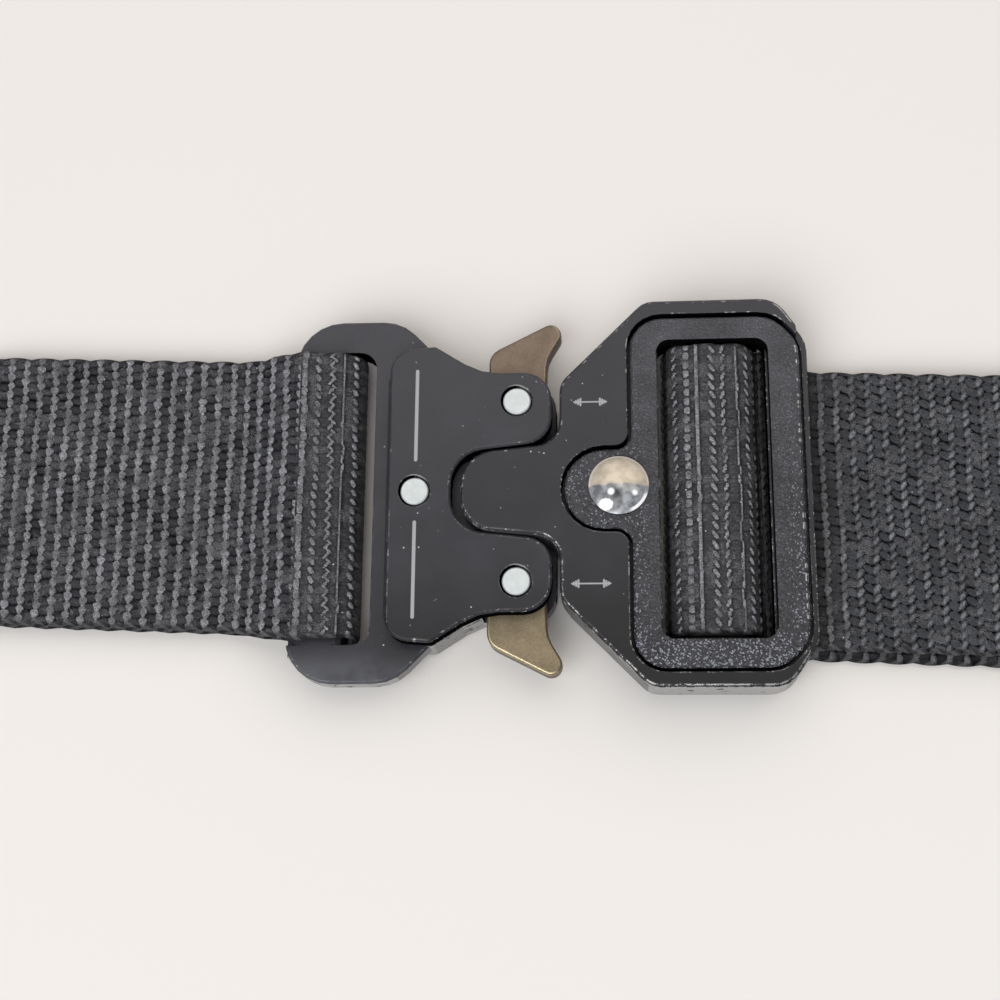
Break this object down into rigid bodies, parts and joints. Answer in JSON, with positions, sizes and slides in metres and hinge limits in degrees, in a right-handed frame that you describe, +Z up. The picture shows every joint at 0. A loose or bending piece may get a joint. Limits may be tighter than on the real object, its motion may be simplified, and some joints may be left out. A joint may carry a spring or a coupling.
{
  "type": "webbing belt with quick-release buckle",
  "caption": "Woven webbing belt closed in a loop, with a flat metal quick-release buckle: side levers, raised cover plate, adjuster slot and free tail.",
  "frame": {"origin": "on the underside of the lever half's deck, 13 mm from the buckle's middle, on the buckle's centre line", "axes": "+X along the front of the belt from the lever half to the adjuster half; +Y from the buckle to the back of the loop; +Z up, out of the buckle's face"},
  "size_m": [0.441, 0.2156, 0.0385],
  "materials": {
    "webbing": "coarse woven nylon, dull",
    "plate": "satin black, worn edges",
    "insert": "black wrinkle texture",
    "lever": "aged, brushed",
    "rivet": "bright",
    "dome": "polished",
    "slide": "satin"
  },
  "bodies": {
    "belt": {"strap": "webbing", "female_base": "plate", "female_cover": "plate", "centre_rivet": "rivet", "upper_pivot_rivet": "rivet", "lower_pivot_rivet": "rivet", "male_body": "plate", "male_insert": "insert", "dome_rivet": "dome", "slide_bar": "slide"},
    "upper_release": {"upper_lever": "lever"},
    "lower_release": {"lower_lever": "lever"}
  },
  "joints": [
    {"name": "upper_release_hinge", "type": "hinge", "parent": "belt", "child": "upper_release", "pos_m": [0.00655, 0.01235, 0.0049], "axis": [0, 0, 1], "range_deg": [-13, 0], "stiffness_Nm_per_rad": 0.04, "springref_deg": 8.59},
    {"name": "lower_release_hinge", "type": "hinge", "parent": "belt", "child": "lower_release", "pos_m": [0.00655, -0.01235, 0.0049], "axis": [0, 0, 1], "range_deg": [0, 13], "stiffness_Nm_per_rad": 0.04, "springref_deg": -8.59}
  ]
}
